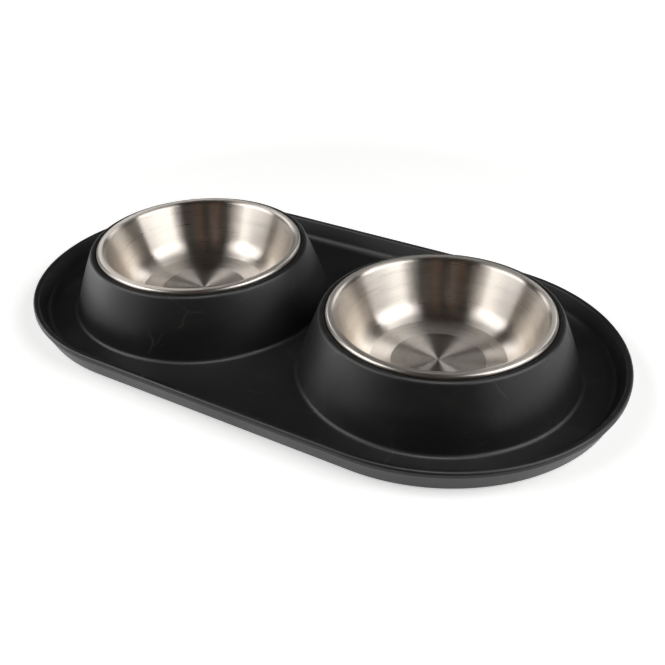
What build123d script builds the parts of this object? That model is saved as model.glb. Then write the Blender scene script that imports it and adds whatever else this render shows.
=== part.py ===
"""Double pet bowl: a moulded tray with two holders, two lift-out steel bowls and six rubber feet.

Sizes are in millimetres. +X runs along the tray, +Z is up, and the origin lies on the ground under
the middle of the tray. Heights in the section sketches are measured from the tray's underside.
"""

import os
from math import atan2, cos, degrees, radians, sin, tan

from build123d import *

os.makedirs("parts", exist_ok=True)

# Driving sizes of a bowl
rim_radius = 80.0  # outside of the rolled rim
rim_top = 50.7  # top of the rim above the tray's underside
bead_radius = 1.6  # outside of the roll at the rim
sheet = 0.8  # steel sheet
bowl_depth = 42.8  # from the rim's top down to the middle of the floor
flange_width = 6.5  # from the rim in to where the flange turns down into the wall
mouth_bend = 4.0  # radius of that turn
wall_run = 15.0  # from that turn in to the knee, where the wall starts to curve
knee_width = 9.5  # from the knee in to the crease around the floor
knee_rise = 5.0  # from that crease up to the knee
knee_bend = 22.0  # radius of the wall's curve at the knee
crease_bend = 1.5  # radius of the crease
disc_margin = 15.0  # from the crease in to the flat middle of the floor
disc_bend = 20.0  # radius where the flat middle turns into the floor's rising edge
floor_rise = 2.2  # how far the floor rises from its flat middle to the crease
flange_slope = 5.0  # degrees, falling towards the mouth
roll_turn = 255.0  # degrees that the rim is rolled through

# Driving sizes of a holder
rim_gap = 1.0  # between the rim and the holder around it
seat_gap = 0.3  # between the rim and the ledge under it
ledge_reach = 7.0  # width of the ledge that carries the rim
crown_width = 3.6  # top of the holder, before its edges are rounded
crown_drop = 2.0  # the holder's top lies this far below the rim's top
crown_outer_round = 3.2
crown_inner_round = 1.0
ledge_round = 0.8
holder_spread = 16.6  # how much wider the holder is at its foot than at its top
side_bulge = 0.8  # how far the holder's side bows out
foot_fillet = 3.6  # between the holder and the tray's floor
wall = 3.0  # wall of the holders

# Driving sizes of the tray
holder_gap = 0.4  # flat floor between the fillets of the two holders
tray_margin = 32.0  # from a holder's foot out to the lip
floor_thickness = 3.0
lip_top = 18.0  # above the tray's underside
lip_band = 3.7  # upright face around the lip
lip_step = 0.4  # overhang of the lip over the flared side
lip_width = 4.2
lip_round = 2.0
flare_inset = 6.8  # how much narrower the tray is at its underside than at the lip
cove_radius = 8.0  # inside, where the side meets the floor
underside_round = 0.8

# Driving sizes of the rubber feet
pad_radius = 8.0
pad_stand = 1.0  # how far a foot holds the tray off the ground
pocket_depth = 1.0
pocket_gap = 0.2  # around a foot in its pocket
pad_chamfer = 0.4
end_foot_angle = 45.0  # degrees from the tray's long axis, about a bowl's axis

overrun = 5.0  # cuts run this far past what they cut

# Sizes that follow from the driving sizes
recess_radius = rim_radius + rim_gap
crown_radius = recess_radius + crown_width
foot_radius = crown_radius + holder_spread
skirt_radius = foot_radius + foot_fillet
opening_radius = recess_radius - ledge_reach
lip_radius = foot_radius + tray_margin
underside_radius = lip_radius - flare_inset
bowl_spacing = 2 * skirt_radius + holder_gap

mouth_radius = rim_radius - flange_width
knee_radius = mouth_radius - wall_run
crease_radius = knee_radius - knee_width
disc_radius = crease_radius - disc_margin
bead_height = rim_top - bead_radius
inner_floor = rim_top - bowl_depth
crease_height = inner_floor + floor_rise
knee_height = crease_height + knee_rise
crown_height = rim_top - crown_drop
seat_height = bead_height - bead_radius - seat_gap
ledge_underside = seat_height - wall

flare_height = lip_top - lip_band
flare_angle = degrees(atan2(flare_inset - lip_step, flare_height))
wall_lean = tan(radians(flare_angle))
floor_edge_radius = lip_radius - lip_width - wall_lean * (lip_top - floor_thickness)

tray_plane = Plane.XY.offset(pad_stand)
bowl_places = {"left_bowl": -bowl_spacing / 2, "right_bowl": bowl_spacing / 2}


def upright_plane(x):
    """Return the plane of a section through a bowl's axis, with its origin at the tray's underside."""
    return Plane.XZ.shift_origin((x, 0, pad_stand))


def upright_axis(x):
    """Return a bowl's axis."""
    return Axis((x, 0, 0), (0, 0, 1))


def holder_side(height):
    """Return the radius of a holder's side at a height, along the straight line from foot to crown."""
    fall = (crown_height - height) / (crown_height - floor_thickness)
    return crown_radius + holder_spread * fall


# Section of the ring that makes a holder
crown_outer = (crown_radius, crown_height)
crown_inner = (recess_radius, crown_height)
foot_corner = (foot_radius, floor_thickness)
ledge_corner = (opening_radius, seat_height)
hollow_top = (holder_side(ledge_underside) - wall, ledge_underside)
hollow_foot = (holder_side(0) - wall, 0)

with BuildSketch() as holder_section:
    with BuildLine():
        SagittaArc(foot_corner, crown_outer, -side_bulge)
        Polyline(
            crown_outer,
            crown_inner,
            (recess_radius, seat_height),
            ledge_corner,
            (opening_radius, ledge_underside),
            hollow_top,
        )
        SagittaArc(hollow_top, hollow_foot, side_bulge)
        Polyline(hollow_foot, (skirt_radius, 0), (skirt_radius, floor_thickness), foot_corner)
    make_face()
    for corner, radius in (
        (foot_corner, foot_fillet),
        (crown_outer, crown_outer_round),
        (crown_inner, crown_inner_round),
        (ledge_corner, ledge_round),
    ):
        fillet(holder_section.vertices().sort_by_distance(corner)[0], radius)

# Places of the feet, midway between a holder's foot and the edge of the underside
foot_ring = (foot_radius + underside_radius) / 2
end_foot_x = bowl_spacing / 2 + foot_ring * cos(radians(end_foot_angle))
end_foot_y = foot_ring * sin(radians(end_foot_angle))
foot_places = {
    "front_left_foot": (-end_foot_x, -end_foot_y),
    "front_middle_foot": (0, -foot_ring),
    "front_right_foot": (end_foot_x, -end_foot_y),
    "back_left_foot": (-end_foot_x, end_foot_y),
    "back_middle_foot": (0, foot_ring),
    "back_right_foot": (end_foot_x, end_foot_y),
}

# Tray
with BuildPart() as tray:
    with BuildSketch(tray_plane):
        SlotCenterToCenter(bowl_spacing, 2 * underside_radius)
    extrude(amount=flare_height, taper=-flare_angle)
    fillet(tray.edges().group_by(Axis.Z)[0], underside_round)

    with BuildSketch(tray_plane.offset(flare_height)):
        SlotCenterToCenter(bowl_spacing, 2 * lip_radius)
    extrude(amount=lip_band)

    with BuildSketch(tray_plane.offset(floor_thickness)):
        SlotCenterToCenter(bowl_spacing, 2 * floor_edge_radius)
    extrude(amount=lip_top - floor_thickness + overrun, taper=-flare_angle, mode=Mode.SUBTRACT)
    fillet(tray.edges(Select.LAST).group_by(Axis.Z)[0], cove_radius)
    fillet(tray.faces().sort_by(Axis.Z)[-1].edges(), lip_round)

    with BuildSketch(tray_plane):
        with Locations(*[(x, 0) for x in bowl_places.values()]):
            Circle(foot_radius)
    extrude(amount=floor_thickness, mode=Mode.SUBTRACT)

    for bowl_x in bowl_places.values():
        with BuildSketch(upright_plane(bowl_x)):
            add(holder_section.sketch)
        revolve(axis=upright_axis(bowl_x))

    with BuildSketch(tray_plane):
        with Locations(*foot_places.values()):
            Circle(pad_radius + pocket_gap)
    extrude(amount=pocket_depth, mode=Mode.SUBTRACT)

tray.part.label = "tray"
export_step(tray.part, "parts/tray.step")

# Bowls
slope = radians(flange_slope)
bead_center = (rim_radius - bead_radius, bead_height)
flange_end = (bead_center[0] - bead_radius * sin(slope), bead_center[1] + bead_radius * cos(slope))
mouth = (mouth_radius, flange_end[1] - (flange_end[0] - mouth_radius) * tan(slope))

for bowl_name, bowl_x in bowl_places.items():
    with BuildPart() as bowl:
        with BuildSketch(upright_plane(bowl_x)):
            with BuildLine():
                FilletPolyline(
                    (0, inner_floor),
                    (disc_radius, inner_floor),
                    (crease_radius, crease_height),
                    (knee_radius, knee_height),
                    mouth,
                    flange_end,
                    radius=(disc_bend, crease_bend, knee_bend, mouth_bend),
                )
                CenterArc(bead_center, bead_radius, 90 + flange_slope, -roll_turn)
                offset(amount=sheet, side=Side.RIGHT)
            make_face()
        revolve(axis=upright_axis(bowl_x))
    bowl.part.label = bowl_name
    export_step(bowl.part, f"parts/{bowl_name}.step")

# Rubber feet
for foot_name, foot_place in foot_places.items():
    with BuildPart() as foot:
        with BuildSketch():
            with Locations(foot_place):
                Circle(pad_radius)
        extrude(amount=pad_stand + pocket_depth)
        chamfer(foot.edges().group_by(Axis.Z)[0], pad_chamfer)
    foot.part.label = foot_name
    export_step(foot.part, f"parts/{foot_name}.step")
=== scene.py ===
"""Looks of the double pet bowl: a matte black tray with two holders, two brushed steel bowls and rubber feet.

Every length is in metres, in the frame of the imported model: +X runs along the tray, +Z is up, and the
origin lies on the ground under the middle of the tray. Each surface is a section, worked out as a chain of
straight runs and arcs, that is carried round an axis or along a path.
"""

import logging
import math
from dataclasses import dataclass, field
from enum import Enum
from typing import Optional, Union

import bpy
import numpy as np
from mathutils import Matrix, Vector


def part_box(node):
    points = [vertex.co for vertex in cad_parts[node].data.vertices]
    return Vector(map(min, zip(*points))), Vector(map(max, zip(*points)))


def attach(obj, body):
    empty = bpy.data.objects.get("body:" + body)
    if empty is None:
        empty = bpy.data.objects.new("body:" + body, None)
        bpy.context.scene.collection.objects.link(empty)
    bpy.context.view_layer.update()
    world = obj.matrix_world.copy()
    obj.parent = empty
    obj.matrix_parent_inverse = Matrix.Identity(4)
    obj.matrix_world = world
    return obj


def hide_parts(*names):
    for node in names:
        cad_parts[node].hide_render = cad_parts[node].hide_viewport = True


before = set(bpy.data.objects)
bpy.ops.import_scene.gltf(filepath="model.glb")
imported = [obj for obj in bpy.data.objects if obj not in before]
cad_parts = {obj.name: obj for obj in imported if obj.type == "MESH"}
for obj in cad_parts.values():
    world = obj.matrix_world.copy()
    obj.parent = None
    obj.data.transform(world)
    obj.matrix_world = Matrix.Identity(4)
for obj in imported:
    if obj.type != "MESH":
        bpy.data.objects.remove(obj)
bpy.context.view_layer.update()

MM = 0.001
TURN = 2 * math.pi
SHARP_EDGE = math.radians(40)
STREAK_ATTRIBUTE = "brushing"
UV_NAME = "UVMap"
SAME_PLACE = 1e-7
BOWL_NODES = ("left_bowl", "right_bowl")

Range = tuple[float, float]
Triple = tuple[float, float, float]
Value = bpy.types.NodeSocket
Input = Union[Value, float, tuple[float, ...]]

log = logging.getLogger("double_pet_bowl")


class Slot(Enum):
    """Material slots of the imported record."""

    TRAY = "tray_plastic"
    STEEL = "bowl_steel"
    RUBBER = "foot_rubber"


class Socket(Enum):
    """Inputs of the shader that the finishes set."""

    COLOR = "Base Color"
    ROUGHNESS = "Roughness"
    METALLIC = "Metallic"
    NORMAL = "Normal"
    TANGENT = "Tangent"
    ANISOTROPY = "Anisotropic"
    ANISOTROPY_TURN = "Anisotropic Rotation"
    SPECULAR = "Specular IOR Level"


# Sections


def line(start: np.ndarray, end: np.ndarray, count: int) -> np.ndarray:
    """Return points on a straight run: start + t (end - start), with t from 0 to 1.

    Args:
        start: First point, as radius and height.
        end: Last point.
        count: Number of points.

    Returns:
        Array of shape (count, 2).
    """
    t = np.linspace(0, 1, count)[:, None]
    return np.asarray(start) + t * (np.asarray(end) - np.asarray(start))


def arc(center: np.ndarray, radius: float, start: float, end: float, count: int) -> np.ndarray:
    """Return points on an arc: center + radius (cos a, sin a), with a from start to end.

    Args:
        center: Middle of the arc.
        radius: Its radius.
        start: First angle in radians.
        end: Last angle in radians.
        count: Number of points.

    Returns:
        Array of shape (count, 2).
    """
    a = np.linspace(start, end, count)
    return np.asarray(center) + radius * np.stack([np.cos(a), np.sin(a)], axis=1)


def arc_between(center: np.ndarray, start: np.ndarray, end: np.ndarray, count: int) -> np.ndarray:
    """Return the shorter arc about a centre from one point to another.

    Args:
        center: Middle of the arc.
        start: First point.
        end: Last point, as far from the centre as the first.
        count: Number of points.

    Returns:
        Array of shape (count, 2).
    """
    first, last = np.asarray(start) - center, np.asarray(end) - center
    a = math.atan2(first[1], first[0])
    turn = (math.atan2(last[1], last[0]) - a + math.pi) % TURN - math.pi
    return arc(center, float(np.hypot(*first)), a, a + turn, count)


def rounded(
    before: np.ndarray, corner: np.ndarray, after: np.ndarray, radius: float, count: int
) -> np.ndarray:
    """Return the arc that rounds a corner between two straight runs.

    Its centre lies on the corner's bisector, radius / sin(half the corner's angle) from the corner.

    Args:
        before: A point on the run that comes in.
        corner: The corner.
        after: A point on the run that goes out.
        radius: Radius of the arc.
        count: Number of points.

    Returns:
        Array of shape (count, 2), from the first run's tangent point to the second's.
    """
    corner = np.asarray(corner, float)
    back = np.asarray(before) - corner
    ahead = np.asarray(after) - corner
    back, ahead = back / np.hypot(*back), ahead / np.hypot(*ahead)
    half = math.acos(float(np.clip(back @ ahead, -1, 1))) / 2
    bisector = (back + ahead) / np.hypot(*(back + ahead))
    reach = radius / math.tan(half)
    center = corner + bisector * radius / math.sin(half)
    return arc_between(center, corner + back * reach, corner + ahead * reach, count)


def chain(*runs: np.ndarray) -> np.ndarray:
    """Join runs into one outline and drop each point that repeats the one before it.

    Args:
        runs: Arrays of points, in order.

    Returns:
        Array of shape (n, 2).
    """
    points = np.concatenate([np.atleast_2d(run) for run in runs])
    step = np.hypot(*np.diff(points, axis=0).T)
    return points[np.concatenate([[True], step > SAME_PLACE])]


def along(points: np.ndarray) -> np.ndarray:
    """Return each point's distance from the first one, measured along the outline."""
    return np.concatenate([[0.0], np.cumsum(np.hypot(*np.diff(points, axis=0).T))])


def shifted(points: np.ndarray, distance: float) -> np.ndarray:
    """Return an outline moved to its right by a distance, square to itself at each point.

    Args:
        points: Outline of shape (n, 2), smooth all along.
        distance: How far it moves.

    Returns:
        Array of shape (n, 2).
    """
    tangent = np.gradient(points, along(points), axis=0)
    tangent /= np.hypot(*tangent.T)[:, None]
    return points + distance * np.stack([tangent[:, 1], -tangent[:, 0]], axis=1)


# Meshes


@dataclass
class Surface:
    """A mesh in the making: vertices, four-sided faces, what patterns follow, and each face's finish."""

    name: str
    vertices: np.ndarray
    faces: np.ndarray
    uv: Optional[np.ndarray] = None
    streaks: Optional[np.ndarray] = None
    finishes: Optional[np.ndarray] = None

    def weld(self, grain: float = 1e-6) -> None:
        """Give vertices at the same place one number, and drop faces that have no area left.

        Args:
            grain: Distance under which two places count as one.
        """
        keys = np.round(self.vertices / grain).astype(np.int64)
        _, first, number = np.unique(keys, axis=0, return_index=True, return_inverse=True)
        self.vertices = self.vertices[first]
        if self.streaks is not None:
            self.streaks = self.streaks[first]
        self.faces = number.reshape(-1)[self.faces]
        ordered = np.sort(self.faces, axis=1)
        distinct = 1 + (np.diff(ordered, axis=1) > 0).sum(axis=1)
        kept = distinct >= 3
        self.faces = self.faces[kept]
        if self.uv is not None:
            self.uv = self.uv[kept]
        if self.finishes is not None:
            self.finishes = self.finishes[kept]

    def build(self, materials: list[bpy.types.Material]) -> bpy.types.Object:
        """Put the arrays into a Blender mesh with smooth faces and sharp edges where it turns steeply.

        Args:
            materials: Finishes, in the order that the faces number them.

        Returns:
            The new object, at the origin.
        """
        repeats = self.faces == np.roll(self.faces, -1, axis=1)
        keep = ~repeats
        counts = keep.sum(axis=1)
        mesh = bpy.data.meshes.new(self.name)
        mesh.vertices.add(len(self.vertices))
        mesh.vertices.foreach_set("co", self.vertices.astype(np.float32).ravel())
        mesh.loops.add(int(counts.sum()))
        mesh.loops.foreach_set("vertex_index", self.faces[keep].astype(np.int32))
        mesh.polygons.add(len(self.faces))
        starts = np.concatenate([[0], np.cumsum(counts)[:-1]])
        mesh.polygons.foreach_set("loop_start", starts.astype(np.int32))
        mesh.update(calc_edges=True)
        if self.uv is not None:
            layer = mesh.uv_layers.new(name=UV_NAME)
            layer.data.foreach_set("uv", self.uv[keep].astype(np.float32).ravel())
        if self.streaks is not None:
            attribute = mesh.attributes.new(STREAK_ATTRIBUTE, "FLOAT_VECTOR", "POINT")
            attribute.data.foreach_set("vector", self.streaks.astype(np.float32).ravel())
        for material in materials:
            mesh.materials.append(material)
        if self.finishes is not None:
            mesh.polygons.foreach_set("material_index", self.finishes.astype(np.int32))
        mesh.polygons.foreach_set("use_smooth", np.ones(len(self.faces), bool))
        mesh.set_sharp_from_angle(angle=SHARP_EDGE)
        mesh.validate()
        piece = bpy.data.objects.new(self.name, mesh)
        bpy.context.scene.collection.objects.link(piece)
        return piece


def grid_faces(rows: int, columns: int) -> np.ndarray:
    """Return the four-sided faces of a grid of vertices numbered row by row.

    A face joins (i, j), (i, j + 1), (i + 1, j + 1) and (i + 1, j).

    Args:
        rows: Number of rows of vertices.
        columns: Number of vertices in a row.

    Returns:
        Array of shape ((rows - 1) (columns - 1), 4).
    """
    number = np.arange(rows * columns).reshape(rows, columns)
    corners = (number[:-1, :-1], number[:-1, 1:], number[1:, 1:], number[1:, :-1])
    return np.stack(corners, axis=-1).reshape(-1, 4)


def revolved(
    name: str, section: np.ndarray, center: Range, steps: int, brushing: Optional[Range] = None
) -> Surface:
    """Return the surface that a section sweeps as it turns once about an upright axis.

    A point of the section at radius r and height z goes to (x + r cos a, y + r sin a, z), with a from 0 to a
    full turn. The map's u is the share of the turn and v the distance along the section. Brushing runs round
    the axis: its pattern space is (waves cos a, waves sin a, distance / pitch), which has no seam.

    Args:
        name: Name of the piece.
        section: Outline of shape (n, 2), walked so that the faces look to its left.
        center: Place of the axis.
        steps: Number of steps round the axis.
        brushing: Radius of the pattern's circle, where more makes shorter streaks, and the distance along
            the section that makes one unit of the pattern. Without them, there is no brushing.

    Returns:
        The surface, whose seam and poles close when it is welded.
    """
    a = np.linspace(0, TURN, steps + 1)[:, None]
    a[-1] = 0.0
    r, z = section[:, 0][None], section[:, 1][None]
    distance = along(section)[None]
    points = np.stack([center[0] + r * np.cos(a), center[1] + r * np.sin(a), z + 0 * a], axis=-1)
    share = np.linspace(0, 1, steps + 1)[:, None]
    uv = np.stack([share + 0 * r, distance + 0 * share], axis=-1).reshape(-1, 2)
    faces = grid_faces(steps + 1, len(section))
    surface = Surface(name, points.reshape(-1, 3), faces, uv=uv[faces], finishes=np.zeros(len(faces), int))
    if brushing is not None:
        waves, pitch = brushing
        circle = (waves * np.cos(a) + 0 * r, waves * np.sin(a) + 0 * r)
        surface.streaks = np.stack([*circle, distance / pitch + 0 * a], axis=-1).reshape(-1, 3)
    return surface


# Node trees


class Nodes:
    """A node tree of a material or of the surroundings, with short ways to add nodes and link them."""

    def __init__(self, owner: bpy.types.ID, output: str = "ShaderNodeOutputMaterial") -> None:
        """Start an empty tree with an output.

        Args:
            owner: The material or the surroundings.
            output: Blender's name of the output node.
        """
        owner.use_nodes = True
        self.tree = owner.node_tree
        self.tree.nodes.clear()
        self.output = self.add(output)

    @classmethod
    def of_material(cls, name: str) -> tuple[bpy.types.Material, "Nodes"]:
        """Make a material.

        Args:
            name: Its name.

        Returns:
            The material and its empty tree.
        """
        material = bpy.data.materials.new(name)
        return material, cls(material)

    def add(self, kind: str, **options: object) -> bpy.types.Node:
        """Add a node.

        Args:
            kind: Blender's name of the node.
            options: Settings of the node.

        Returns:
            The node.
        """
        node = self.tree.nodes.new(kind)
        for key, value in options.items():
            setattr(node, key, value)
        return node

    def link(self, source: Input, target: Value) -> None:
        """Link an output to an input, or set the input where the source is a constant.

        Args:
            source: The output or the constant.
            target: The input.
        """
        if isinstance(source, bpy.types.NodeSocket):
            self.tree.links.new(source, target)
        else:
            target.default_value = source

    def surface(self, source: Value) -> None:
        """Link a shader to the tree's output."""
        self.link(source, self.output.inputs["Surface"])

    def shader(self, inputs: dict[Socket, Input]) -> None:
        """Add the principled shader, feed it and link it to the output.

        Args:
            inputs: What each input takes, an output or a constant.
        """
        shader = self.add("ShaderNodeBsdfPrincipled")
        for socket, source in inputs.items():
            self.link(source, shader.inputs[socket.value])
        self.surface(shader.outputs["BSDF"])

    def noise(
        self, place: Value, scale: float, detail: float, roughness: float = 0.5, output: str = "Fac"
    ) -> Value:
        """Add a noise pattern.

        Args:
            place: Coordinates that it reads.
            scale: Waves per unit of those coordinates.
            detail: Number of finer layers.
            roughness: Weight of the finer layers.
            output: Blender's name of what is read: one value, or three as a colour.

        Returns:
            The pattern.
        """
        node = self.add("ShaderNodeTexNoise")
        node.inputs["Scale"].default_value = scale
        node.inputs["Detail"].default_value = detail
        node.inputs["Roughness"].default_value = roughness
        self.link(place, node.inputs["Vector"])
        return node.outputs[output]

    def cells(self, place: Value, scale: float, feature: str = "F1") -> Value:
        """Add a pattern of cells.

        Args:
            place: Coordinates that it reads.
            scale: Cells per unit of those coordinates.
            feature: Blender's name of what is measured: the way to a cell's middle, or to its edge.

        Returns:
            The distance.
        """
        node = self.add("ShaderNodeTexVoronoi", feature=feature)
        node.inputs["Scale"].default_value = scale
        self.link(place, node.inputs["Vector"])
        return node.outputs["Distance"]

    def stretched(self, place: Value, scale: Triple, turn: float = 0.0) -> Value:
        """Add a mapping that scales coordinates unevenly.

        Args:
            place: Coordinates that it reads.
            scale: Factors along the three axes.
            turn: Turn about Z in radians, made after the scaling.

        Returns:
            The new coordinates.
        """
        node = self.add("ShaderNodeMapping")
        node.inputs["Scale"].default_value = scale
        node.inputs["Rotation"].default_value = (0, 0, turn)
        self.link(place, node.inputs["Vector"])
        return node.outputs["Vector"]

    def spread(self, value: Value, source: Range, target: Range = (0.0, 1.0)) -> Value:
        """Add a clamped linear change of range.

        Args:
            value: Value that it reads.
            source: Where the range starts and ends.
            target: The results there.

        Returns:
            The result.
        """
        node = self.add("ShaderNodeMapRange")
        for key, number in zip(("From Min", "From Max", "To Min", "To Max"), (*source, *target)):
            node.inputs[key].default_value = number
        self.link(value, node.inputs["Value"])
        return node.outputs["Result"]

    def math(self, operation: str, first: Value, second: Input) -> Value:
        """Add an operation on two values.

        Args:
            operation: Blender's name of the operation.
            first: First value.
            second: Second value, an output or a number.

        Returns:
            The result.
        """
        node = self.add("ShaderNodeMath", operation=operation)
        self.link(first, node.inputs[0])
        self.link(second, node.inputs[1])
        return node.outputs["Value"]

    def tint(self, value: Value, dark: Triple, light: Triple) -> Value:
        """Add a ramp between two colours.

        Args:
            value: Place on the ramp, from 0 to 1.
            dark: Colour at 0.
            light: Colour at 1.

        Returns:
            The colour.
        """
        node = self.add("ShaderNodeValToRGB")
        node.color_ramp.elements[0].color = (*dark, 1)
        node.color_ramp.elements[1].color = (*light, 1)
        self.link(value, node.inputs["Fac"])
        return node.outputs["Color"]

    def mixed(self, share: Value, first: Input, second: Input) -> Value:
        """Add a mix of two colours.

        Args:
            share: How much of the second colour there is.
            first: First colour, an output or four numbers.
            second: Second colour.

        Returns:
            The colour.
        """
        node = self.add("ShaderNodeMix", data_type="RGBA")
        for key, source in (("Factor", share), ("A", first), ("B", second)):
            self.link(source, node.inputs[key])
        return node.outputs["Result"]

    def seen(self) -> Value:
        """Add the rays that show a backdrop: 1 for camera, glossy and transmission rays, else 0."""
        path = self.add("ShaderNodeLightPath").outputs
        shown = self.math("MAXIMUM", path["Is Camera Ray"], path["Is Glossy Ray"])
        return self.math("MAXIMUM", shown, path["Is Transmission Ray"])

    def bump(self, height: Value, distance: float, strength: float) -> Value:
        """Add relief.

        Args:
            height: Pattern of the relief.
            distance: Its depth.
            strength: How much of it shows.

        Returns:
            The normal.
        """
        node = self.add("ShaderNodeBump")
        node.inputs["Distance"].default_value = distance
        node.inputs["Strength"].default_value = strength
        self.link(height, node.inputs["Height"])
        return node.outputs["Normal"]


# Finishes


@dataclass(frozen=True)
class MatteMoulding:
    """Black plastic from a finely eroded mould, with dust, fine scratches and the marks of a cloth."""

    name: str = "matte_black_moulding"
    dark: Triple = (0.0026, 0.0026, 0.0028)
    light: Triple = (0.0046, 0.0046, 0.0049)
    dust: Triple = (0.2, 0.19, 0.18)
    roughness: Range = (0.38, 0.48)
    specular: float = 0.5
    grain_scale: float = 1500.0
    grain_depth: float = 0.04 * MM
    grain_strength: float = 0.5
    cloud_scale: float = 14.0
    cloud_range: Range = (0.3, 0.7)
    wipe_stretch: Triple = (9.0, 90.0, 40.0)
    wipe_turn: float = math.radians(35)
    wipe_range: Range = (0.5, 0.75)
    wipe_patches: Range = (0.45, 0.65)
    wipe_share: float = 0.05
    wipe_polish: float = 0.08
    speck_scale: float = 260.0
    speck_size: float = 0.075
    speck_group_scale: float = 130.0
    speck_group_range: Range = (0.58, 0.64)
    scratch_scale: float = 17.0
    scratch_size: float = 0.01
    scratch_wander: float = 0.035
    scratch_wander_scale: float = 25.5
    scratch_piece_scale: float = 45.0
    scratch_piece_range: Range = (0.53, 0.6)
    scratch_share: float = 0.09

    def specks(self, nodes: Nodes, place: Value) -> Value:
        """Add dots of dust that lie in loose groups.

        Args:
            nodes: The tree.
            place: Coordinates.

        Returns:
            How much dust there is, from 0 to 1.
        """
        dots = nodes.spread(nodes.cells(place, self.speck_scale), (0, self.speck_size), (1, 0))
        groups = nodes.spread(nodes.noise(place, self.speck_group_scale, detail=2), self.speck_group_range)
        return nodes.math("MULTIPLY", dots, groups)

    def scratches(self, nodes: Nodes, place: Value) -> Value:
        """Add thin curved scratches: the edges of wandering cells, of which a mask leaves short pieces.

        Args:
            nodes: The tree.
            place: Coordinates.

        Returns:
            How much of a scratch there is, from 0 to 1.
        """
        wander = nodes.noise(place, self.scratch_wander_scale, detail=2, output="Color")
        moved = nodes.add("ShaderNodeVectorMath", operation="MULTIPLY_ADD")
        for number, source in enumerate((wander, (self.scratch_wander,) * 3, place)):
            nodes.link(source, moved.inputs[number])
        edges = nodes.cells(moved.outputs["Vector"], self.scratch_scale, "DISTANCE_TO_EDGE")
        thin = nodes.spread(edges, (0, self.scratch_size), (1, 0))
        pieces = nodes.noise(place, self.scratch_piece_scale, detail=1)
        return nodes.math("MULTIPLY", thin, nodes.spread(pieces, self.scratch_piece_range))

    def material(self) -> bpy.types.Material:
        """Return the finish as a node tree on Object coordinates."""
        material, nodes = Nodes.of_material(self.name)
        place = nodes.add("ShaderNodeTexCoord").outputs["Object"]
        clouds = nodes.noise(place, self.cloud_scale, detail=4)
        strokes = nodes.stretched(place, self.wipe_stretch, self.wipe_turn)
        wiped = nodes.spread(nodes.noise(strokes, 1.0, detail=5, roughness=0.6), self.wipe_range)
        marks = nodes.math("MULTIPLY", wiped, nodes.spread(clouds, self.wipe_patches))
        film = nodes.math("MULTIPLY", marks, self.wipe_share)
        lines = nodes.math("MULTIPLY", self.scratches(nodes, place), self.scratch_share)
        dirt = nodes.math("MAXIMUM", self.specks(nodes, place), nodes.math("MAXIMUM", film, lines))
        plastic = nodes.tint(nodes.spread(clouds, self.cloud_range), self.dark, self.light)
        sheen = nodes.spread(clouds, self.cloud_range, self.roughness)
        polish = nodes.math("MULTIPLY", marks, self.wipe_polish)
        grain = nodes.noise(place, self.grain_scale, detail=2)
        nodes.shader(
            {
                Socket.SPECULAR: self.specular,
                Socket.COLOR: nodes.mixed(dirt, plastic, (*self.dust, 1)),
                Socket.ROUGHNESS: nodes.math("SUBTRACT", sheen, polish),
                Socket.NORMAL: nodes.bump(grain, self.grain_depth, self.grain_strength),
            }
        )
        return material


@dataclass(frozen=True)
class TurnedSteel:
    """Stainless steel that was brushed in circles on a lathe."""

    name: str
    dark: Triple
    light: Triple
    roughness: Range
    anisotropy: float
    streak_depth: float
    streak_strength: float = 0.4
    streak_range: Range = (0.3, 0.7)
    fine_share: float = 0.65
    broad_stretch: Triple = (0.6, 0.6, 0.12)
    brush_turn: float = 0.25

    def material(self) -> bpy.types.Material:
        """Return the finish as a node tree that follows the brushing attribute and the map's tangent."""
        material, nodes = Nodes.of_material(self.name)
        place = nodes.add("ShaderNodeAttribute", attribute_name=STREAK_ATTRIBUTE).outputs["Vector"]
        fine = nodes.noise(place, 1.0, detail=5, roughness=0.65)
        broad = nodes.noise(nodes.stretched(place, self.broad_stretch), 1.0, detail=3)
        fine_part = nodes.math("MULTIPLY", fine, self.fine_share)
        streaks = nodes.math("ADD", fine_part, nodes.math("MULTIPLY", broad, 1 - self.fine_share))
        tangent = nodes.add("ShaderNodeTangent", direction_type="UV_MAP", uv_map=UV_NAME)
        nodes.shader(
            {
                Socket.METALLIC: 1.0,
                Socket.ANISOTROPY: self.anisotropy,
                Socket.ANISOTROPY_TURN: self.brush_turn,
                Socket.COLOR: nodes.tint(nodes.spread(streaks, self.streak_range), self.dark, self.light),
                Socket.ROUGHNESS: nodes.spread(streaks, self.streak_range, self.roughness),
                Socket.NORMAL: nodes.bump(fine, self.streak_depth, self.streak_strength),
                Socket.TANGENT: tangent.outputs["Tangent"],
            }
        )
        return material


BRUSHED_STEEL = TurnedSteel(
    name="brushed_steel",
    dark=(0.54, 0.497, 0.45),
    light=(0.7, 0.65, 0.594),
    roughness=(0.26, 0.32),
    anisotropy=1.0,
    streak_depth=0.0016 * MM,
)
# The disc is the same sheet as the wall, but its colour is set much darker. That darkness is painted shade,
# matched to how dark the disc looked under these lamps, so under other light the disc may look too dark. Its
# rougher turned finish is real.
SHADED_TURNED_DISC = TurnedSteel(
    name="turned_disc_steel_painted_shade",
    dark=(0.31, 0.285, 0.258),
    light=(0.46, 0.424, 0.387),
    roughness=(0.46, 0.54),
    anisotropy=1.0,
    streak_depth=0.004 * MM,
)
SATIN_RIM = TurnedSteel(
    name="satin_rim_steel",
    dark=(0.52, 0.481, 0.438),
    light=(0.58, 0.54, 0.492),
    roughness=(0.33, 0.37),
    anisotropy=0.5,
    streak_depth=0.002 * MM,
)


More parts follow.
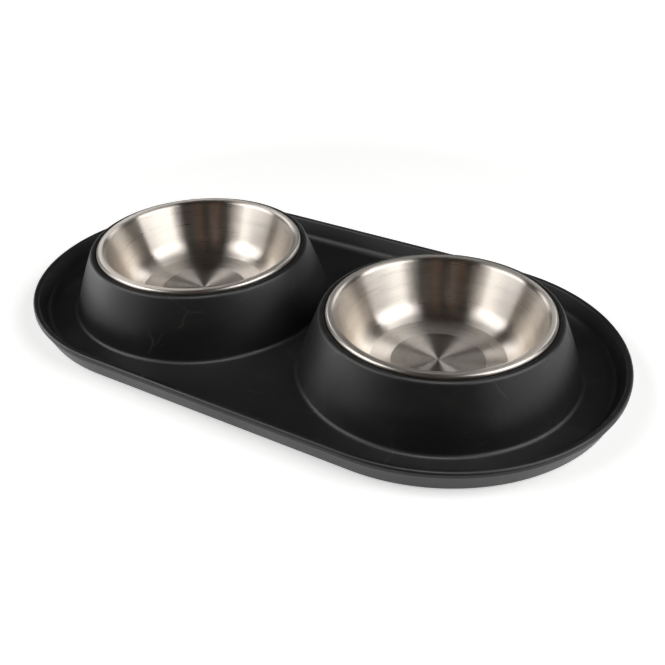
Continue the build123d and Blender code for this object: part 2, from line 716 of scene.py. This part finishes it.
@dataclass(frozen=True)
class FootRubber:
    """Soft black rubber with a fine skin."""

    name: str = "foot_rubber"
    dark: Triple = (0.018, 0.018, 0.018)
    light: Triple = (0.034, 0.033, 0.032)
    roughness: Range = (0.7, 0.85)
    specular: float = 0.3
    grain_scale: float = 900.0
    grain_range: Range = (0.3, 0.7)
    grain_depth: float = 0.06 * MM
    grain_strength: float = 0.6

    def material(self) -> bpy.types.Material:
        """Return the finish as a node tree on Object coordinates."""
        material, nodes = Nodes.of_material(self.name)
        place = nodes.add("ShaderNodeTexCoord").outputs["Object"]
        grain = nodes.noise(place, self.grain_scale, detail=3)
        nodes.shader(
            {
                Socket.SPECULAR: self.specular,
                Socket.COLOR: nodes.tint(grain, self.dark, self.light),
                Socket.ROUGHNESS: nodes.spread(grain, self.grain_range, self.roughness),
                Socket.NORMAL: nodes.bump(grain, self.grain_depth, self.grain_strength),
            }
        )
        return material


@dataclass(frozen=True)
class PaleFloor:
    """White studio floor: the camera and clear reflections see it a little brighter, and it keeps shadows.

    It can be looked through from underneath.
    """

    name: str = "pale_floor"
    colour: Triple = (0.86, 0.855, 0.85)
    lift: Range = (0.46, 1.05)
    lift_radii: Range = (0.36, 0.85)

    def material(self) -> bpy.types.Material:
        """Return a diffuse floor that also glows for the rays that show a backdrop, more so far out."""
        material, nodes = Nodes.of_material(self.name)
        place = nodes.add("ShaderNodeTexCoord").outputs["Object"]
        distance = nodes.add("ShaderNodeVectorMath", operation="LENGTH")
        nodes.link(place, distance.inputs[0])
        strength = nodes.spread(distance.outputs["Value"], self.lift_radii, self.lift)
        paint = nodes.add("ShaderNodeBsdfDiffuse")
        paint.inputs["Color"].default_value = (*self.colour, 1)
        glow = nodes.add("ShaderNodeEmission")
        nodes.link(nodes.math("MULTIPLY", nodes.seen(), strength), glow.inputs["Strength"])
        total = nodes.add("ShaderNodeAddShader")
        nodes.link(paint.outputs["BSDF"], total.inputs[0])
        nodes.link(glow.outputs["Emission"], total.inputs[1])
        sides = nodes.add("ShaderNodeMixShader")
        nodes.link(nodes.add("ShaderNodeNewGeometry").outputs["Backfacing"], sides.inputs["Fac"])
        nodes.link(total.outputs["Shader"], sides.inputs[1])
        nodes.link(nodes.add("ShaderNodeBsdfTransparent").outputs["BSDF"], sides.inputs[2])
        nodes.surface(sides.outputs["Shader"])
        return material


@dataclass(frozen=True)
class DimRoom:
    """Surroundings that hardly light the object.

    The camera sees them white, and clear reflections see a white band of them along the horizon.
    """

    name: str = "dim_room"
    air: Triple = (0.03, 0.027, 0.024)
    white: Triple = (1.0, 1.0, 1.0)
    band_sines: Range = (0.09, 0.2)

    def build(self) -> bpy.types.World:
        """Make the surroundings.

        Where d is a ray's direction, the band is white up to the first of band_sines in d.z, and fades out
        at the second.

        Returns:
            The surroundings.
        """
        world = bpy.data.worlds.new(self.name)
        nodes = Nodes(world, "ShaderNodeOutputWorld")
        split = nodes.add("ShaderNodeSeparateXYZ")
        nodes.link(nodes.add("ShaderNodeTexCoord").outputs["Generated"], split.inputs["Vector"])
        band = nodes.spread(split.outputs["Z"], self.band_sines, (1, 0))
        camera = nodes.add("ShaderNodeLightPath").outputs["Is Camera Ray"]
        lit = nodes.math("MAXIMUM", nodes.math("MULTIPLY", nodes.seen(), band), camera)
        light = nodes.add("ShaderNodeBackground")
        nodes.link(nodes.mixed(lit, (*self.air, 1), (*self.white, 1)), light.inputs["Color"])
        nodes.surface(light.outputs["Background"])
        return world


# Pieces


@dataclass
class Bowl:
    """A lift-out bowl of steel sheet with a sloping flange and a rolled rim."""

    node: str
    sheet: float = 0.8 * MM
    bead_radius: float = 1.6 * MM
    roll_radius: float = 2.2 * MM
    flange_width: float = 6.5 * MM
    flange_slope: float = math.radians(5)
    mouth_bend: float = 4.0 * MM
    wall_run: float = 15.0 * MM
    knee_width: float = 9.5 * MM
    knee_rise: float = 5.0 * MM
    knee_bend: float = 22.0 * MM
    crease_bend: float = 1.5 * MM
    disc_margin: float = 15.0 * MM
    disc_bend: float = 20.0 * MM
    floor_rise: float = 2.2 * MM
    roll_turn: float = math.radians(255)
    steps: int = 288
    brushing: Range = (2.2, 0.6 * MM)

    def section(self) -> tuple[np.ndarray, int, int]:
        """Work out the closed section of the sheet, from the axis out along the top and back underneath.

        The top runs along the flat disc and the floor's rising edge to a crease, round the wall's curved
        knee, up the wall, round the mouth bend and up the flange into the roll, which is tighter below. The
        underside is the same line moved square to itself by the sheet's thickness.

        Returns:
            Outline of radius and height, and the numbers of its first points past the disc and on the flange.
        """
        low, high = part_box(self.node)
        rim_radius = (high.x - low.x) / 2
        floor = low.z + self.sheet
        tuck_radius = 2 * self.bead_radius - self.roll_radius
        bead = np.array([rim_radius - self.roll_radius, high.z - self.roll_radius])
        lean = np.array([-math.sin(self.flange_slope), math.cos(self.flange_slope)])
        flange_end = bead + self.roll_radius * lean
        mouth_radius = rim_radius - self.flange_width
        fall = (flange_end[0] - mouth_radius) * math.tan(self.flange_slope)
        mouth = np.array([mouth_radius, flange_end[1] - fall])
        knee_radius = mouth_radius - self.wall_run
        crease = np.array([knee_radius - self.knee_width, floor + self.floor_rise])
        knee = np.array([knee_radius, crease[1] + self.knee_rise])
        middle = np.array([0.0, floor])
        disc = np.array([crease[0] - self.disc_margin, floor])
        disc_arc = rounded(middle, disc, crease, self.disc_bend, count=7)
        crease_arc = rounded(disc, crease, knee, self.crease_bend, count=7)
        knee_arc = rounded(crease, knee, mouth, self.knee_bend, count=18)
        mouth_arc = rounded(knee, mouth, flange_end, self.mouth_bend, count=16)
        start = math.pi / 2 + self.flange_slope
        tuck_middle = bead + (self.roll_radius - tuck_radius, 0.0)
        inside = chain(
            line(middle, disc_arc[0], count=22),
            disc_arc,
            line(disc_arc[-1], crease_arc[0], count=12),
            crease_arc,
            line(crease_arc[-1], knee_arc[0], count=5),
            knee_arc,
            line(knee_arc[-1], mouth_arc[0], count=18),
            mouth_arc,
            line(mouth_arc[-1], flange_end, count=5),
            arc(bead, self.roll_radius, start, 0.0, count=28),
            arc(tuck_middle, tuck_radius, 0.0, start - self.roll_turn, count=22),
        )
        under = shifted(inside, self.sheet)
        under[0, 0] = 0.0
        first_edge = int(np.argmin(np.hypot(*(inside - disc_arc[len(disc_arc) // 2]).T)))
        first_rim = int(np.argmin(np.hypot(*(inside - mouth_arc[-1]).T)))
        return np.concatenate([inside, under[::-1]]), first_edge, first_rim

    def build(self) -> bpy.types.Object:
        """Make the bowl and dress it.

        Returns:
            The new object, which rides on the bowl's body.
        """
        low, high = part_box(self.node)
        section, first_edge, first_rim = self.section()
        center = ((low.x + high.x) / 2, (low.y + high.y) / 2)
        surface = revolved(f"{self.node}_sheet", section, center, self.steps, self.brushing)
        run = np.tile(np.arange(len(section) - 1), self.steps)
        place = np.minimum(run, len(section) - 2 - run)
        surface.finishes = (place >= first_edge).astype(int) + (place >= first_rim)
        surface.weld()
        # The disc faces take the darker copy of the steel, whose colour is painted shade.
        piece = surface.build([SHADED_TURNED_DISC.material(), BRUSHED_STEEL.material(), SATIN_RIM.material()])
        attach(piece, self.node)
        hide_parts(self.node)
        return piece


@dataclass
class Tray:
    """The moulded tray: a shallow pan with round ends and two hollow holders, all in one piece.

    Heights are measured from the tray's underside, which stands on the feet.
    """

    node: str = "tray"
    stand: float = 1.0 * MM
    floor_thickness: float = 3.0 * MM
    wall: float = 3.0 * MM
    rim_gap: float = 1.0 * MM
    seat_drop: float = 1.5 * MM
    ledge_reach: float = 7.0 * MM
    ledge_round: float = 0.8 * MM
    crown_width: float = 3.6 * MM
    crown_outer_round: float = 3.2 * MM
    crown_inner_round: float = 1.0 * MM
    holder_spread: float = 16.6 * MM
    side_bulge: float = 0.8 * MM
    foot_fillet: float = 3.6 * MM
    lip_top: float = 18.0 * MM
    lip_band: float = 3.7 * MM
    lip_step: float = 0.4 * MM
    lip_width: float = 4.2 * MM
    lip_round: float = 2.0 * MM
    flare_inset: float = 6.8 * MM
    cove_radius: float = 8.0 * MM
    underside_round: float = 0.8 * MM
    end_steps: int = 176
    side_steps: int = 44
    middle_steps: int = 72
    bowl_x: float = field(init=False)
    lip_radius: float = field(init=False)
    recess_radius: float = field(init=False)
    crown_height: float = field(init=False)

    def __post_init__(self) -> None:
        """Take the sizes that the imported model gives."""
        low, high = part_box(self.node)
        bowl_low, bowl_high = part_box(BOWL_NODES[1])
        self.bowl_x = (bowl_low.x + bowl_high.x) / 2
        self.lip_radius = (high.y - low.y) / 2
        self.recess_radius = (bowl_high.x - bowl_low.x) / 2 + self.rim_gap
        self.crown_height = high.z - self.stand

    @property
    def crown_radius(self) -> float:
        """Outside of a holder's top, before its edge is rounded."""
        return self.recess_radius + self.crown_width

    @property
    def foot_radius(self) -> float:
        """Outside of a holder's foot, before the fillet."""
        return self.crown_radius + self.holder_spread

    def side_center(self, start: np.ndarray, end: np.ndarray) -> tuple[np.ndarray, float]:
        """Work out the circle of a holder's bowed side.

        With chord c and bow s, the radius is c² / 8 s + s / 2, and the centre lies that far from the bow's
        top, on the axis's side of the chord.

        Args:
            start: Lower end of the side.
            end: Upper end of the side.

        Returns:
            Centre and radius.
        """
        chord = end - start
        length = float(np.hypot(*chord))
        radius = length**2 / (8 * self.side_bulge) + self.side_bulge / 2
        outward = np.array([chord[1], -chord[0]]) / length
        return (start + end) / 2 - outward * (radius - self.side_bulge), radius

    def holder_top(self) -> tuple[np.ndarray, int]:
        """Work out the outer line of a holder, from the ledge's underside over the crown to the tray's floor.

        The crown's rounding lies inside the side's circle and the foot's fillet outside it, so their centres
        lie at the circle's radius less or plus their own.

        Returns:
            Outline of radius and height, and the number of its first point on the foot's fillet.
        """
        opening = self.recess_radius - self.ledge_reach
        seat = self.crown_height - self.seat_drop
        floor = self.floor_thickness
        crown = np.array([self.crown_radius, self.crown_height])
        middle, radius = self.side_center(np.array([self.foot_radius, floor]), crown)

        inner = radius - self.crown_outer_round
        high = self.crown_height - self.crown_outer_round
        crown_middle = np.array([middle[0] + math.sqrt(inner**2 - (high - middle[1]) ** 2), high])
        side_top = middle + (crown_middle - middle) * radius / inner
        outer = radius + self.foot_fillet
        low = floor + self.foot_fillet
        foot_middle = np.array([middle[0] + math.sqrt(outer**2 - (low - middle[1]) ** 2), low])
        side_foot = middle + (foot_middle - middle) * radius / outer

        ledge = rounded((opening, 0), (opening, seat), (self.recess_radius, seat), self.ledge_round, count=6)
        recess = np.array([self.recess_radius, self.crown_height])
        inner_round = rounded((self.recess_radius, seat), recess, crown, self.crown_inner_round, count=9)
        before = chain(
            np.array([opening, seat - self.wall]),
            ledge,
            np.array([self.recess_radius, seat]),
            inner_round,
            arc_between(crown_middle, crown_middle + (0, self.crown_outer_round), side_top, count=12),
            arc_between(middle, side_top, side_foot, count=20),
        )
        fillet = arc_between(foot_middle, side_foot, np.array([foot_middle[0], floor]), count=14)
        return chain(before, fillet), len(before) - 1

    def holder_hollow(self) -> np.ndarray:
        """Return the inner line of a holder, from the tray's underside up to the ledge's underside.

        Returns:
            Outline of radius and height.
        """
        under_ledge = self.crown_height - self.seat_drop - self.wall
        rise = self.crown_height - self.floor_thickness
        heights = np.array([0.0, under_ledge])
        radii = self.crown_radius + self.holder_spread * (self.crown_height - heights) / rise - self.wall
        start, end = np.stack([radii, heights], axis=1)
        middle, _ = self.side_center(start, end)
        return arc_between(middle, start, end, count=16)

    def pan_section(self) -> np.ndarray:
        """Work out the pan's line, from its floor up the cove and over the lip to the underside.

        The inner and outer walls lean alike, so the wall is about as thick all the way up.

        Returns:
            Outline of radius and height, where the radius is measured from the spine between the bowls.
        """
        lip, top = self.lip_radius, self.lip_top
        flare_top = np.array([lip - self.lip_step, top - self.lip_band])
        flare_foot = np.array([lip - self.flare_inset, 0.0])
        lean = (flare_top[0] - flare_foot[0]) / flare_top[1]
        inner_top = np.array([lip - self.lip_width, top])
        inner_foot = np.array([inner_top[0] - lean * (top - self.floor_thickness), self.floor_thickness])
        inside = np.array([0.0, self.floor_thickness])
        return chain(
            rounded(inside, inner_foot, inner_top, self.cove_radius, count=16),
            rounded(inner_foot, inner_top, (lip, top), self.lip_round, count=9),
            rounded(inner_top, (lip, top), (lip, flare_top[1]), self.lip_round, count=9),
            np.array([lip, flare_top[1]]),
            flare_top,
            rounded(flare_top, flare_foot, (0.0, 0.0), self.underside_round, count=7),
        )

    def half(self) -> Surface:
        """Work out the tray's right half, from the middle to the round end, as one surface.

        Round the end and along both long sides, each section is a closed loop: holder, floor, pan, underside
        and hollow. A holder's point at radius r lies at c + r (cos a, sin a) about the bowl's axis c, and a
        pan's point at radius R lies at s + R n, where s runs along the spine and n is square to the path. The
        angle a is that of the pan's first point as c sees it. Facing the other holder, the section stops at
        x = 0, and the fillet is cut there.

        Returns:
            The surface, open at x = 0.
        """
        top, fillet_first = self.holder_top()
        hollow = self.holder_hollow()
        pan = self.pan_section()

        turn = np.linspace(-math.pi / 2, math.pi / 2, self.end_steps)
        out = np.linspace(0, self.bowl_x, self.side_steps, endpoint=False)
        spine = np.concatenate([out, np.full(self.end_steps, self.bowl_x), out[::-1]])
        angle = np.concatenate([np.full(self.side_steps, turn[0]), turn, np.full(self.side_steps, turn[-1])])
        normal = np.stack([np.cos(angle), np.sin(angle)], axis=1)
        pan_x = spine[:, None] + pan[None, :, 0] * normal[:, :1]
        pan_y = pan[None, :, 0] * normal[:, 1:]
        pan_points = np.stack([pan_x, pan_y, 0 * pan_x + pan[None, :, 1]], axis=-1)
        seen = np.arctan2(pan_y[:, 0], pan_x[:, 0] - self.bowl_x)
        ring = np.concatenate([hollow, top])
        loops = np.concatenate([self.carried(ring, seen), pan_points, self.carried(ring[:1], seen)], axis=1)

        facing = np.linspace(seen[-1], seen[0] + TURN, self.middle_steps)
        reach = self.bowl_x / np.abs(np.cos(facing))
        cut = np.minimum(ring[None, :, 0], reach[:, None])
        bend = np.minimum(ring[-1, 0] - cut, self.foot_fillet)
        lifted = self.floor_thickness + self.foot_fillet - np.sqrt(self.foot_fillet**2 - bend**2)
        on_fillet = np.arange(len(ring)) >= len(hollow) + fillet_first
        height = np.where(on_fillet[None], lifted, ring[None, :, 1])
        radius = np.where(on_fillet[None], cut, ring[None, :, 0])
        holder_x = self.bowl_x + radius * np.cos(facing)[:, None]
        holder_points = np.stack([holder_x, radius * np.sin(facing)[:, None], height], axis=-1)
        middle_y = reach * np.sin(facing)
        top_end = np.stack([0 * middle_y, middle_y, height[:, -1]], axis=-1)
        low_y = middle_y * pan[-1, 0] / pan[0, 0]
        low_end = np.stack([0 * low_y, low_y, 0 * low_y], axis=-1)
        strip = np.concatenate([low_end[:, None], holder_points, top_end[:, None]], axis=1)

        first = grid_faces(*loops.shape[:2])
        second = grid_faces(*strip.shape[:2]) + loops.shape[0] * loops.shape[1]
        points = np.concatenate([loops.reshape(-1, 3), strip.reshape(-1, 3)])
        points[:, 2] += self.stand
        return Surface(self.node, points, np.concatenate([first, second]))

    def carried(self, outline: np.ndarray, angles: np.ndarray) -> np.ndarray:
        """Carry a holder's outline round the right bowl's axis.

        Args:
            outline: Points of radius and height.
            angles: Angles to carry it to.

        Returns:
            Array of shape (angles, points, 3).
        """
        r, z = outline[None, :, 0], outline[None, :, 1]
        a = angles[:, None]
        return np.stack([self.bowl_x + r * np.cos(a), r * np.sin(a), z + 0 * a], axis=-1)

    def build(self) -> bpy.types.Object:
        """Make the tray from its right half and that half's mirror image, and dress it.

        Returns:
            The new object, which rides on the tray's body.
        """
        half = self.half()
        mirrored = half.vertices * (-1, 1, 1)
        faces = np.concatenate([half.faces, half.faces[:, ::-1] + len(half.vertices)])
        surface = Surface(f"{self.node}_moulding", np.concatenate([half.vertices, mirrored]), faces)
        surface.weld()
        piece = surface.build([MatteMoulding().material()])
        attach(piece, "tray")
        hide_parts(self.node)
        return piece


@dataclass
class Foot:
    """A rubber pad that sits in a shallow pocket under the tray."""

    node: str
    edge_round: float = 0.5 * MM
    groove_radius_share: float = 0.62
    groove_width: float = 0.8 * MM
    steps: int = 72

    def build(self, finish: bpy.types.Material) -> bpy.types.Object:
        """Make the pad as a turned section with a rounded foot and a ring groove, and dress it.

        Args:
            finish: The rubber.

        Returns:
            The new object, which rides on the tray's body.
        """
        low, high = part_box(self.node)
        radius = (high.x - low.x) / 2
        ring = radius * self.groove_radius_share
        half = self.groove_width / 2
        section = chain(
            np.array([0.0, high.z]),
            np.array([radius, high.z]),
            rounded((radius, high.z), (radius, low.z), (0.0, low.z), self.edge_round, count=7),
            arc((ring, low.z), half, 0.0, math.pi, count=8),
            np.array([0.0, low.z]),
        )
        center = ((low.x + high.x) / 2, (low.y + high.y) / 2)
        surface = revolved(f"{self.node}_pad", section, center, self.steps)
        surface.weld()
        piece = surface.build([finish])
        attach(piece, "tray")
        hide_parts(self.node)
        return piece


# Studio


@dataclass(frozen=True)
class Viewpoint:
    """The photograph's camera, looking at a point near the middle of the tray."""

    azimuth: float = math.radians(31.772)
    elevation: float = math.radians(32.913)
    roll: float = math.radians(-1.274)
    distance: float = 713.25 * MM
    target: Triple = (14.46 * MM, 3.74 * MM, 1.0 * MM)
    focal_pixels: float = 932.8
    image_pixels: float = 665.0
    sensor: float = 36.0
    nearest: float = 10 * MM

    def toward(self, azimuth: float, elevation: float) -> np.ndarray:
        """Return the direction of a place that is turned from the camera by an azimuth, at an elevation."""
        a = self.azimuth + azimuth
        level = math.cos(elevation)
        return np.array([math.sin(a) * level, -math.cos(a) * level, math.sin(elevation)])

    def build(self) -> bpy.types.Object:
        """Make the camera and the scene's view of it."""
        back = self.toward(0.0, self.elevation)
        level = np.array([math.cos(self.azimuth), math.sin(self.azimuth), 0.0])
        upward = np.cross(back, level)
        right = level * math.cos(self.roll) + upward * math.sin(self.roll)
        matrix = np.eye(4)
        matrix[:3, 0] = right
        matrix[:3, 1] = np.cross(back, right)
        matrix[:3, 2] = back
        matrix[:3, 3] = np.array(self.target) + back * self.distance
        data = bpy.data.cameras.new("camera")
        data.sensor_width = self.sensor
        data.lens = self.focal_pixels * self.sensor / self.image_pixels
        data.clip_start = self.nearest
        camera = bpy.data.objects.new("camera", data)
        camera.matrix_world = Matrix(matrix.tolist())
        bpy.context.scene.collection.objects.link(camera)
        bpy.context.scene.camera = camera
        return camera


@dataclass(frozen=True)
class Softbox:
    """A large soft lamp that faces the object."""

    name: str
    azimuth: float
    elevation: float
    distance: float
    width: float
    height: float
    level: float
    only: Optional[Slot] = None
    power_per_area: float = 4.0

    def build(self, viewpoint: Viewpoint, pieces: dict[Slot, list[bpy.types.Object]]) -> bpy.types.Object:
        """Make the lamp, and flag it off from every piece that it isn't meant for.

        Args:
            viewpoint: The camera that the azimuth is measured from.
            pieces: The object's pieces by material.

        Returns:
            The lamp's object.
        """
        back = viewpoint.toward(math.radians(self.azimuth), math.radians(self.elevation))
        level = np.cross((0.0, 0.0, 1.0), back)
        level /= np.linalg.norm(level)
        matrix = np.eye(4)
        matrix[:3, 0], matrix[:3, 1], matrix[:3, 2] = level, np.cross(back, level), back
        matrix[:3, 3] = np.array(viewpoint.target) + back * self.distance
        data = bpy.data.lights.new(self.name, "AREA")
        data.shape = "RECTANGLE"
        data.size, data.size_y = self.width, self.height
        data.energy = self.level * self.power_per_area * self.width * self.height
        lamp = bpy.data.objects.new(self.name, data)
        lamp.matrix_world = Matrix(matrix.tolist())
        if self.only is not None:
            lit = bpy.data.collections.new(f"lit_by_{self.name}")
            for piece in pieces[self.only]:
                lit.objects.link(piece)
            lamp.light_linking.receiver_collection = lit
        bpy.context.scene.collection.objects.link(lamp)
        return lamp


@dataclass(frozen=True)
class Card:
    """A panel that only reflections see: it runs out along the floor and then turns up."""

    name: str
    edges: Range
    glow: Triple
    inner: float
    outer: float
    height: float
    clearance: float = 2 * MM
    steps: int = 25

    def build(self, viewpoint: Viewpoint) -> bpy.types.Object:
        """Make the panel as a section carried round the object from one edge to the other.

        A point of the section at radius r and height z goes to (r sin a, -r cos a, z), with a measured from
        the camera's azimuth.

        Args:
            viewpoint: The camera that the edges are measured from.

        Returns:
            The panel's object.
        """
        section = chain(
            np.array([self.inner, self.clearance]),
            np.array([self.outer, self.clearance]),
            np.array([self.outer, self.height]),
        )
        a = np.radians(np.linspace(*self.edges, self.steps))[:, None] + viewpoint.azimuth
        r, z = section[:, 0][None], section[:, 1][None]
        points = np.stack([r * np.sin(a), -r * np.cos(a), z + 0 * a], axis=-1)
        surface = Surface(self.name, points.reshape(-1, 3), grid_faces(*points.shape[:2]))
        material, nodes = Nodes.of_material(self.name)
        glow = nodes.add("ShaderNodeEmission")
        glow.inputs["Color"].default_value = (*self.glow, 1)
        nodes.surface(glow.outputs["Emission"])
        card = surface.build([material])
        card.visible_camera = False
        card.visible_diffuse = False
        card.visible_shadow = False
        return card


@dataclass
class Studio:
    """Camera, soft lamps, dim surroundings, a pale floor and the panels that the steel reflects."""

    viewpoint: Viewpoint = Viewpoint()
    floor_radius: float = 6.0
    floor_drop: float = 0.02 * MM
    floor_steps: int = 96
    softboxes: tuple[Softbox, ...] = (
        Softbox("left_softbox", -84.0, 38.0, 1.5, 1.21, 0.95, 2.8),
        Softbox("right_softbox", 66.0, 40.0, 1.5, 1.3, 0.95, 3.2),
        Softbox("left_low_softbox", -106.0, 6.5, 1.8, 0.96, 0.4, 3.6, Slot.TRAY),
        Softbox("right_low_softbox", 88.0, 17.0, 1.8, 0.9, 0.4, 2.0, Slot.TRAY),
        Softbox("back_left_softbox", -158.0, 34.0, 2.2, 0.7, 0.6, 2.2, Slot.STEEL),
        Softbox("back_right_softbox", 150.0, 34.0, 2.2, 0.7, 0.6, 2.2, Slot.STEEL),
        Softbox("back_softbox", 160.0, 51.0, 2.2, 1.1, 0.7, 0.5, Slot.STEEL),
        Softbox("top_softbox", 0.0, 82.0, 1.6, 0.7, 0.7, 5.0, Slot.TRAY),
    )
    cards: tuple[Card, ...] = (
        Card("front_card", (-57.0, 38.0), (0.014, 0.013, 0.012), 0.27, 1.7, 2.2),
        Card("right_card", (96.0, 114.0), (0.03, 0.028, 0.026), 0.5, 2.0, 1.4),
        Card("back_card", (114.0, 238.0), (0.03, 0.028, 0.026), 0.33, 2.0, 0.002),
        Card("warm_card", (-3.0, 8.0), (0.12, 0.07, 0.05), 1.65, 1.65, 2.2),
        Card("warm_curtain", (-31.0, -15.0), (0.1, 0.062, 0.045), 1.65, 1.65, 2.2),
    )

    def build(self, pieces: dict[Slot, list[bpy.types.Object]]) -> None:
        """Make everything that isn't part of the object.

        Args:
            pieces: The object's pieces by material.
        """
        scene = bpy.context.scene
        scene.view_settings.view_transform = "Standard"
        scene.world = DimRoom().build()
        self.viewpoint.build()
        for softbox in self.softboxes:
            softbox.build(self.viewpoint, pieces)
        section = line((0.0, -self.floor_drop), (self.floor_radius, -self.floor_drop), count=2)
        floor = revolved("floor", section, (0.0, 0.0), self.floor_steps)
        floor.weld()
        cards = [card.build(self.viewpoint) for card in self.cards]
        floor.build([PaleFloor().material()])


def main() -> None:
    """Build every piece, light the scene and keep both boxes."""
    logging.basicConfig(level=logging.INFO, format="%(message)s")
    rubber = FootRubber().material()
    feet = sorted(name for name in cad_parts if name.endswith("_foot"))
    pieces = {
        Slot.TRAY: [Tray().build()],
        Slot.STEEL: [Bowl(name).build() for name in BOWL_NODES],
        Slot.RUBBER: [Foot(name).build(rubber) for name in feet],
    }
    for slot, group in pieces.items():
        for piece in group:
            log.info("%s in %s: %d faces", piece.name, slot.value, len(piece.data.polygons))
    Studio().build(pieces)


if __name__ == "__main__":
    main()
